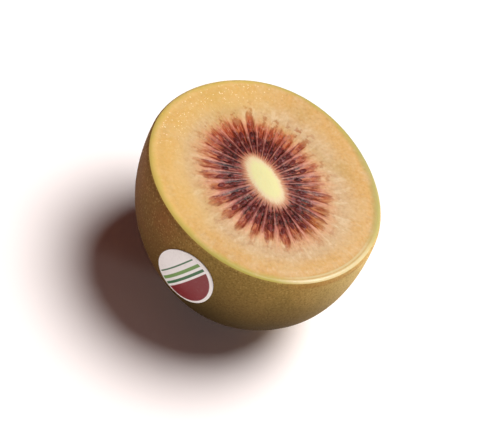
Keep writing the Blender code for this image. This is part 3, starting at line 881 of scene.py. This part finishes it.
# Ripe kiwi flesh, cut with a sharp knife: wet and a little see-through, so it has a soft gloss,
# with the seed chambers as dark red rays round a pale core and a greenish ring under the skin
def makeFleshFinish():
    finish, tree, shader = newFinish("wet cut kiwi flesh", Roughness=0.36, IOR=1.22)
    at = fleshValues(tree)
    pastWall = add(tree, "MapRange", {0: at.along, 1: 8.5, 2: 12.5}, **eased)
    between = {0: pastWall, 6: wallColour(tree, at), 7: outerColour(tree, at)}
    colour = add(tree, "Mix", between, **paint)
    colour = add(tree, "Mix", {0: at.inside, 6: colour, 7: rayColour(tree, at)}, **paint)
    for addDetail in (addTails, addGrain, addCore, addRim, addPaintedGlints):
        colour = addDetail(tree, at, colour)
    tree.links.new(colour, shader.inputs["Base Color"])

    # Light goes about 1 mm into the flesh; juice wets the rim where it faces the light
    shader.inputs["Subsurface Weight"].default_value = 0.1
    shader.inputs["Subsurface Radius"].default_value = (1.0, 0.5, 0.25)
    shader.inputs["Subsurface Scale"].default_value = millimetre
    wet = add(tree, "MapRange", {0: at.toEdge, 1: 2.6, 2: 1.4, 3: 0.0, 4: 0.45}, **eased)
    lit = add(tree, "Math", {0: at.front, 1: at.right}, operation="MAXIMUM")
    wet = add(tree, "Math", {0: wet, 1: lit, 2: 0.1}, operation="MULTIPLY_ADD")
    tree.links.new(wet, shader.inputs["Coat Weight"])
    shader.inputs["Coat Roughness"].default_value = 0.2
    shader.inputs["Coat IOR"].default_value = 1.33
    height = add(tree, "Math", {0: at.fibre, 1: 0.7, 2: at.grain}, operation="MULTIPLY_ADD")
    calm = add(tree, "MapRange", {0: at.toEdge, 1: 1.2, 2: 2.8, 3: 0.08, 4: 0.4}, **eased)
    bump = add(tree, "Bump", {"Height": height, "Strength": calm, "Distance": 0.15 * millimetre})
    tree.links.new(bump, shader.inputs["Normal"])
    tree.links.new(bump, shader.inputs["Coat Normal"])
    return finish


skinLook = dict(
    plain="#9d7e43",
    # brown is painted shade and golden is painted light, laid on the skin by side
    brown="#8a5d33",
    golden="#d2b676",
    olive="#6e6230",
    dark="#4c3818",
    speck="#b89c5c",
    # base is painted shade, laid on towards the round end
    base="#362916",
    underRim="#9a6630",
)


# Kiwi skin as it grew, hairless and rubbed smooth: thin, waxy and nearly matt, with corky dots and a
# reddish band under the front rim; painted shade darkens it towards the round end, and its sides carry
# painted light and painted shade
def makeSkinFinish():
    finish, tree, shader = newFinish("smooth brown kiwi skin", IOR=1.1)
    look = skinLook
    at = meshValues(tree, "toEdge", "goldSide", "brownSide", "front")
    patch = add(tree, "TexNoise", {"Vector": at.places, "Scale": 110.0, "Detail": 4.0})  # 9 mm
    fine = add(tree, "TexNoise", {"Vector": at.places, "Scale": 2600.0, "Detail": 3.0})  # 0.4 mm
    dots = add(tree, "TexVoronoi", {"Vector": at.places, "Scale": 1500.0})  # 0.7 mm apart
    # Painted light on the golden side and painted shade on the brown side
    colour = add(tree, "Mix", {0: at.goldSide, 6: look["plain"], 7: look["golden"]}, **paint)
    colour = add(tree, "Mix", {0: at.brownSide, 6: colour, 7: look["brown"]}, **paint)
    patches = add(tree, "MapRange", {0: patch, 1: 0.38, 2: 0.62, 3: 0.0, 4: 0.25}, **eased)
    colour = add(tree, "Mix", {0: patches, 6: colour, 7: look["olive"]}, **paint)
    darker = add(tree, "MapRange", {0: fine, 1: 0.42, 2: 0.7, 3: 0.0, 4: 0.4}, **eased)
    colour = add(tree, "Mix", {0: darker, 6: colour, 7: look["dark"]}, **paint)
    dotSpots = add(tree, "MapRange", {0: dots, 1: 0.36, 2: 0.14, 3: 0.0, 4: 0.4}, **eased)
    colour = add(tree, "Mix", {0: dotSpots, 6: colour, 7: look["speck"]}, **paint)
    # Painted shade: darker towards the round end, a little less on the golden and brown sides
    depth = add(tree, "Math", {0: at.toEdge, 1: -1.0 / fruit["cutToTip"]}, operation="MULTIPLY")
    depth = add(tree, "Math", {0: depth, 1: 0.5}, operation="POWER")
    most = add(tree, "Math", {0: at.brownSide, 1: at.goldSide}, operation="MAXIMUM")
    most = add(tree, "MapRange", {0: most, 3: 0.95, 4: 0.6})
    paintedShadeBelow = add(tree, "MapRange", {0: depth, 1: 0.2, 2: 0.8, 3: 0.0, 4: most}, **eased)
    colour = add(tree, "Mix", {0: paintedShadeBelow, 6: colour, 7: look["base"]}, **paint)
    rimBand = add(tree, "MapRange", {0: at.toEdge, 1: -1.1, 2: -0.5, 3: 0.0, 4: 0.4}, **eased)
    rimBand = add(tree, "Math", {0: rimBand, 1: at.front}, operation="MULTIPLY")
    colour = add(tree, "Mix", {0: rimBand, 6: colour, 7: look["underRim"]}, **paint)
    tree.links.new(colour, shader.inputs["Base Color"])
    rough = add(tree, "Math", {0: fine, 1: 0.25, 2: 0.5}, operation="MULTIPLY_ADD")
    tree.links.new(rough, shader.inputs["Roughness"])
    height = add(tree, "Math", {0: dotSpots, 1: 0.8, 2: fine}, operation="MULTIPLY_ADD")
    bump = add(tree, "Bump", {"Height": height, "Strength": 0.35, "Distance": 0.15 * millimetre})
    tree.links.new(bump, shader.inputs["Normal"])
    return finish


seedLook = dict(
    # the lighter stops are painted mauve-grey highlights, spread at random over the near-black coat
    coat=((0.35, "#180606"), (0.48, "#2a0e0e"), (0.57, "#4c2222"), (0.7, "#80585a")),
    juice="#7a3630",
)


# Kiwi seed coat, hard and finely pitted as it grew: near black and glossy under a film of red juice,
# with painted mauve-grey highlights
def makeSeedFinish():
    finish, tree, shader = newFinish("dark kiwi seed coat", Roughness=0.4, IOR=1.18)
    at = meshValues(tree, "underJuice")
    mottle = add(tree, "TexNoise", {"Vector": at.places, "Scale": 1500.0, "Detail": 2.0})  # 0.7 mm
    colour = add(tree, "ValToRGB", {0: mottle}, stops=seedLook["coat"])
    # Juice colour over the outer seeds, and painted light round each seed's foot
    colour = add(tree, "Mix", {0: at.underJuice, 6: colour, 7: seedLook["juice"]}, **paint)
    tree.links.new(colour, shader.inputs["Base Color"])
    bump = add(tree, "Bump", {"Height": mottle, "Strength": 0.4, "Distance": 0.1 * millimetre})
    tree.links.new(bump, shader.inputs["Normal"])
    return finish


stickerLook = dict(
    paper="#f4f1ee",
    red="#7f1a22",
    green="#2f6a3c",
    leaf="#6f9a4c",
    scuff="#9a8c86",
    stripes=((0.1, 0.8, "green"), (-1.2, -0.4, "leaf"), (-2.5, -2.1, "green")),  # from, to
)


# Plastic film sticker, printed and die cut: smooth with a satin gloss and slightly scuffed
def makeStickerFinish():
    finish, tree, shader = newFinish("printed film sticker", Roughness=0.38, IOR=1.46)
    look = stickerLook
    at = meshValues(tree, "u", "v", "edge")

    # A dark red end and plain green stripes beside it, all on one slant
    slant = add(tree, "Math", {0: at.v, 1: -0.44}, operation="MULTIPLY")
    slant = add(tree, "Math", {0: at.u, 1: 0.9, 2: slant}, operation="MULTIPLY_ADD")
    printed = add(tree, "MapRange", {0: at.edge, 1: 0.91, 2: 0.89}, **eased)
    field = add(tree, "MapRange", {0: slant, 1: 1.2, 2: 1.3}, **eased)
    field = add(tree, "Math", {0: field, 1: printed}, operation="MULTIPLY")
    colour = add(tree, "Mix", {0: field, 6: look["paper"], 7: look["red"]}, **paint)
    for start, end, name in look["stripes"]:
        stripe = add(tree, "MapRange", {0: slant, 1: start, 2: start + 0.1}, **eased)
        stripeEnd = add(tree, "MapRange", {0: slant, 1: end, 2: end - 0.1}, **eased)
        for limit in (stripeEnd, printed):
            stripe = add(tree, "Math", {0: stripe, 1: limit}, operation="MULTIPLY")
        colour = add(tree, "Mix", {0: stripe, 6: colour, 7: look[name]}, **paint)
    fleck = add(tree, "TexNoise", {"Vector": at.places, "Scale": 1800.0, "Detail": 3.0})  # 0.6 mm
    worn = add(tree, "MapRange", {0: fleck, 1: 0.5, 2: 0.8, 3: 0.0, 4: 0.12}, **eased)
    colour = add(tree, "Mix", {0: worn, 6: colour, 7: look["scuff"]}, **paint)
    tree.links.new(colour, shader.inputs["Base Color"])
    bump = add(tree, "Bump", {"Height": fleck, "Strength": 0.12, "Distance": 0.05 * millimetre})
    tree.links.new(bump, shader.inputs["Normal"])
    return finish


kiwiHalf = makeFruitHalf()
kiwiHalf.data.materials[0] = makeFleshFinish()
kiwiHalf.data.materials[1] = makeSkinFinish()
kiwiSeeds = makeSeeds()
kiwiSeeds.data.materials.clear()
kiwiSeeds.data.materials.append(makeSeedFinish())
stickerSheet = makeSticker()
stickerSheet.data.materials.clear()
stickerSheet.data.materials.append(makeStickerFinish())
print("finishes: flesh, skin, seeds and sticker")

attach(kiwiHalf, "root")
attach(kiwiSeeds, "root")
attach(stickerSheet, "root")
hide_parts("fruit_half")
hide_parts("label")

# A plain pale table top: matt paper, so that it gives no reflection
tableTop = dict(size=3.0, level=-0.0001, colour="#fff7f4")  # in metres
bpy.ops.object.select_all(action="DESELECT")
bpy.ops.mesh.primitive_plane_add(size=tableTop["size"], location=(0.0, 0.0, tableTop["level"]))
floor = bpy.context.object
floor.name = "paleFloor"
floorFinish, _, floorShader = newFinish("matt white table paper", Roughness=0.8)
floorShader.inputs["Base Color"].default_value = linear(tableTop["colour"])
floor.data.materials.append(floorFinish)

# One large soft key light, two weak low lamps and a faint warm surround, in metres and watts
studio = dict(
    world="#ff7c6c",
    worldStrength=0.06,
    aim=(0.0, 0.0, 0.02),
    softboxes=(  # name, place, width and height, power
        ("key", (-0.031, 0.439, 1.117), (0.78, 0.71), 19.4),
        ("side", (0.3, 0.36, 0.03), (0.05, 0.05), 0.9),
        ("fill", (0.28, -0.42, 0.03), (0.05, 0.05), 0.5),
    ),
)
world = bpy.data.worlds.new("studio")
bpy.context.scene.world = world
world.use_nodes = True
world.node_tree.nodes["Background"].inputs[0].default_value = linear(studio["world"])
world.node_tree.nodes["Background"].inputs[1].default_value = studio["worldStrength"]


# An oval softbox that faces the middle of the fruit
def addAreaLight(name, place, size, power):
    data = bpy.data.lights.new(name, "AREA")
    data.shape = "ELLIPSE"
    data.size, data.size_y = size
    data.energy = power
    lamp = bpy.data.objects.new(name, data)
    bpy.context.collection.objects.link(lamp)
    lamp.location = place
    away = np.array(place) - np.array(studio["aim"])
    level = float(np.arctan2(np.hypot(away[0], away[1]), away[2]))
    lamp.rotation_euler = (level, 0.0, float(np.arctan2(away[1], away[0])) + pi / 2.0)


for name, place, size, power in studio["softboxes"]:
    addAreaLight(name + "Softbox", place, size, power)

# The photo's camera looks down steeply, rolled over to the side
photoCamera = dict(
    place=(0.151077, -0.105889, 0.222734),
    turn=(38.936, -17.042, 74.837),
    lens=98.02,
    sensorWidth=36.0,
)
lensData = bpy.data.cameras.new("photoCamera")
lensData.lens = photoCamera["lens"]
lensData.sensor_width = photoCamera["sensorWidth"]
lensData.clip_start = 0.01
camera = bpy.data.objects.new("photoCamera", lensData)
bpy.context.collection.objects.link(camera)
camera.location = photoCamera["place"]
camera.rotation_euler = Euler([radians(angle) for angle in photoCamera["turn"]])
bpy.context.scene.camera = camera
bpy.context.scene.view_settings.view_transform = "Standard"
print("floor, lights and camera are in place")
